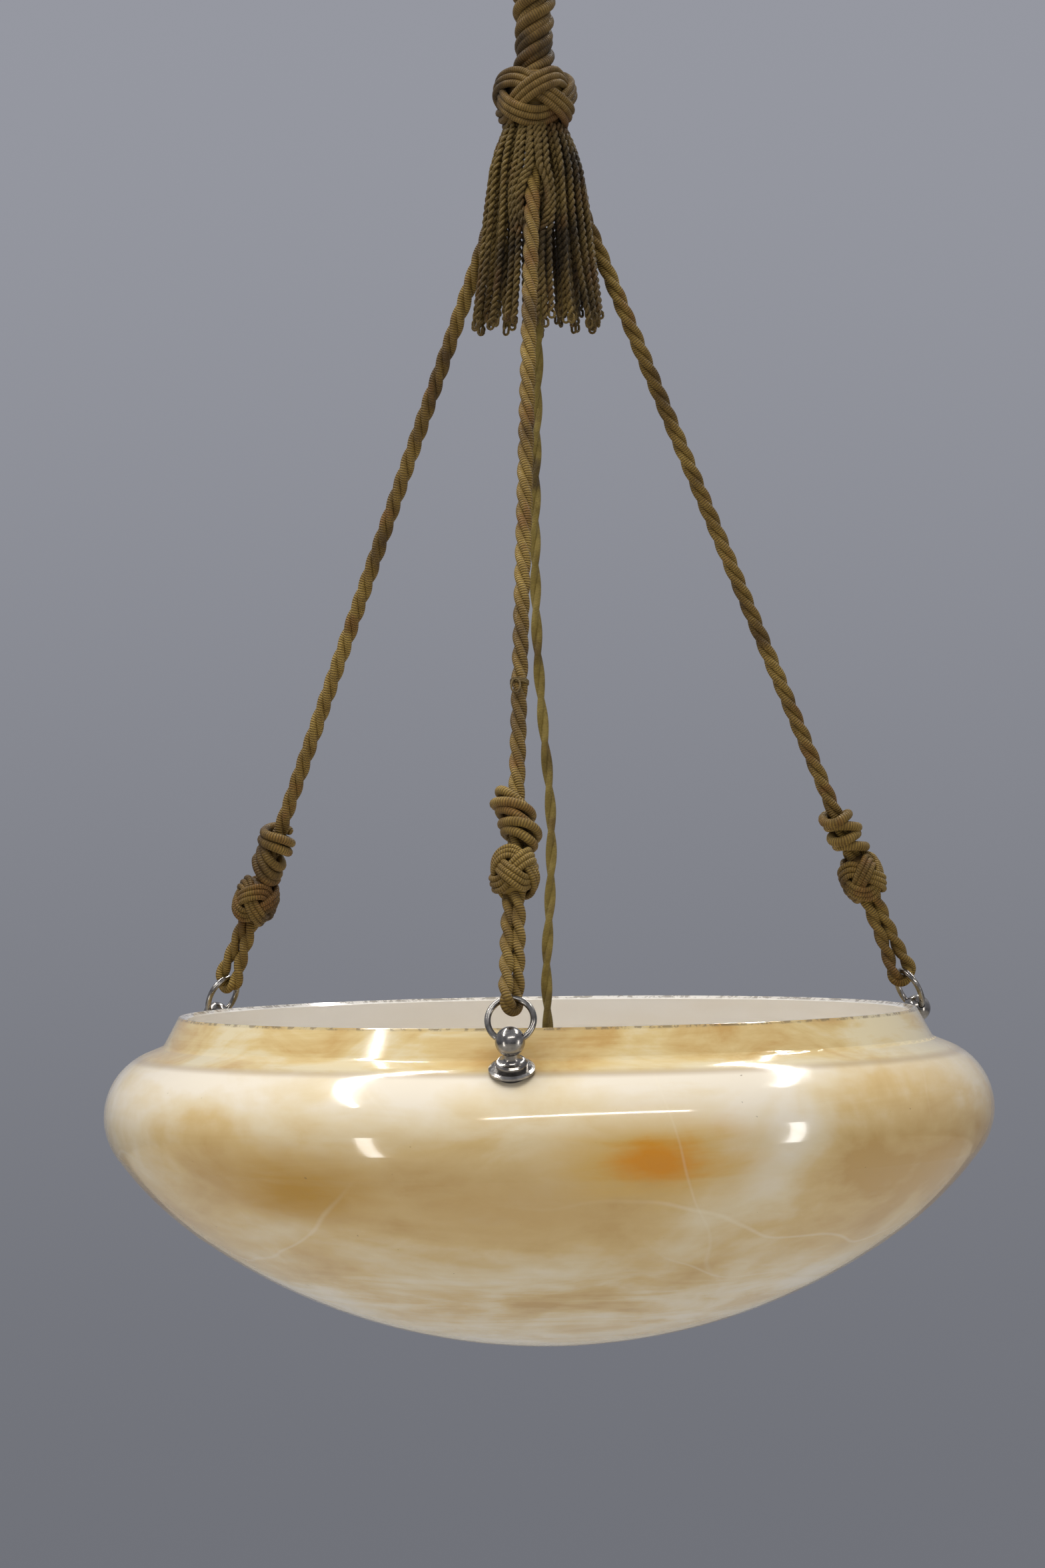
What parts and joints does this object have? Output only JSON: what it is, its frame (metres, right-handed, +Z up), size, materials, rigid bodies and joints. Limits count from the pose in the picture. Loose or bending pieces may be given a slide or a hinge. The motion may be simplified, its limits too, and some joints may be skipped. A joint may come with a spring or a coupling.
{
  "type": "pendant light",
  "caption": "Hanging bowl light: marbled glass bowl on silk ropes with turned finials, rings and knots, under a tasselled knot, with canopy, ceiling hook, lampholder and bulb.",
  "frame": {"origin": "centre of the ceiling plate's upper face, on the ceiling", "axes": "+Z up into the ceiling, -Y towards the front rope's side, +X to the right seen from the front"},
  "size_m": [0.4, 0.4, 0.7439],
  "materials": {
    "silk_rope": "satin",
    "binding_thread": "satin",
    "flex_covering": "satin",
    "marbled_glass": "gloss",
    "aged_nickel": "satin",
    "plated_steel": "satin",
    "plain_brass": "satin",
    "rubber_gasket": "matte",
    "porcelain": "gloss",
    "dark_moulding": "gloss",
    "cap_aluminium": "satin",
    "solder": "satin",
    "bulb_glass": "satin"
  },
  "bodies": {
    "ceiling": {"ceiling_plate": "plated_steel", "ceiling_hook": "plated_steel", "hook_nut": "plated_steel"},
    "link": {"suspension_link": "plated_steel"},
    "pendant": {"rope_top_loop": "silk_rope", "main_rope": "silk_rope", "rope_seizing": "binding_thread", "large_knot": "silk_rope", "tassel": "silk_rope", "supply_flex": "flex_covering", "terminal_block": "porcelain", "terminal_screws": "plain_brass", "suspension_rope_front": "silk_rope", "winding_front": "silk_rope", "ball_knot_front": "silk_rope", "rope_loop_front": "silk_rope", "finial_front": "aged_nickel", "rosette_front": "aged_nickel", "suspension_rope_right": "silk_rope", "winding_right": "silk_rope", "ball_knot_right": "silk_rope", "rope_loop_right": "silk_rope", "finial_right": "aged_nickel", "rosette_right": "aged_nickel", "suspension_rope_left": "silk_rope", "winding_left": "silk_rope", "ball_knot_left": "silk_rope", "rope_loop_left": "silk_rope", "finial_left": "aged_nickel", "rosette_left": "aged_nickel", "thread_tie": "binding_thread", "glass_bowl": "marbled_glass", "outer_gaskets": "rubber_gasket", "inner_gaskets": "rubber_gasket", "inner_washers": "plain_brass", "finial_nuts": "plain_brass"},
    "canopy": {"canopy": "aged_nickel", "canopy_collar": "aged_nickel"},
    "thumbscrew": {"collar_screw": "aged_nickel"},
    "ring_front": {"ring_front": "aged_nickel"},
    "ring_right": {"ring_right": "aged_nickel"},
    "ring_left": {"ring_left": "aged_nickel"},
    "lampholder": {"lamp_flex": "flex_covering", "cord_bush": "dark_moulding", "holder_cap": "plain_brass", "holder_shell": "plain_brass", "porcelain_core": "porcelain", "core_screws": "plain_brass", "centre_contact": "plain_brass", "screwed_liner": "plain_brass", "mouth_ring": "dark_moulding"},
    "bulb": {"bulb_base": "cap_aluminium", "bulb_foot": "solder", "bulb_envelope": "bulb_glass"}
  },
  "joints": [
    {"name": "link_swing", "type": "hinge", "parent": "ceiling", "child": "link", "pos_m": [0, 0, -0.033], "axis": [1, 0, 0], "range_deg": [-4, 4]},
    {"name": "pendant_swing", "type": "hinge", "parent": "link", "child": "pendant", "pos_m": [0, 0, -0.0482], "axis": [0, 1, 0], "range_deg": [-4, 4]},
    {"name": "canopy_slide", "type": "slide", "parent": "pendant", "child": "canopy", "axis": [0, 0, -1], "range_m": [0, 0.06]},
    {"name": "thumbscrew_turn", "type": "hinge", "parent": "canopy", "child": "thumbscrew", "pos_m": [0.0176, 0, -0.09], "axis": [1, 0, 0], "range_deg": [0, 720]},
    {"name": "ring_front_turn", "type": "hinge", "parent": "pendant", "child": "ring_front", "pos_m": [-0.01621, -0.1853, -0.58995], "axis": [0.0792, 0.9058, -0.4162], "continuous": true},
    {"name": "ring_right_turn", "type": "hinge", "parent": "pendant", "child": "ring_right", "pos_m": [0.16858, 0.07861, -0.58995], "axis": [-0.8241, -0.3843, -0.4162], "continuous": true},
    {"name": "ring_left_turn", "type": "hinge", "parent": "pendant", "child": "ring_left", "pos_m": [-0.15237, 0.10669, -0.58995], "axis": [0.7448, -0.5215, -0.4162], "continuous": true},
    {"name": "lampholder_swing", "type": "hinge", "parent": "pendant", "child": "lampholder", "pos_m": [0, 0, -0.198], "axis": [1, 0, 0], "range_deg": [-8, 8]},
    {"name": "bulb_slide", "type": "slide", "parent": "lampholder", "child": "bulb", "axis": [0, 0, -1], "range_m": [0, 0.024]}
  ]
}
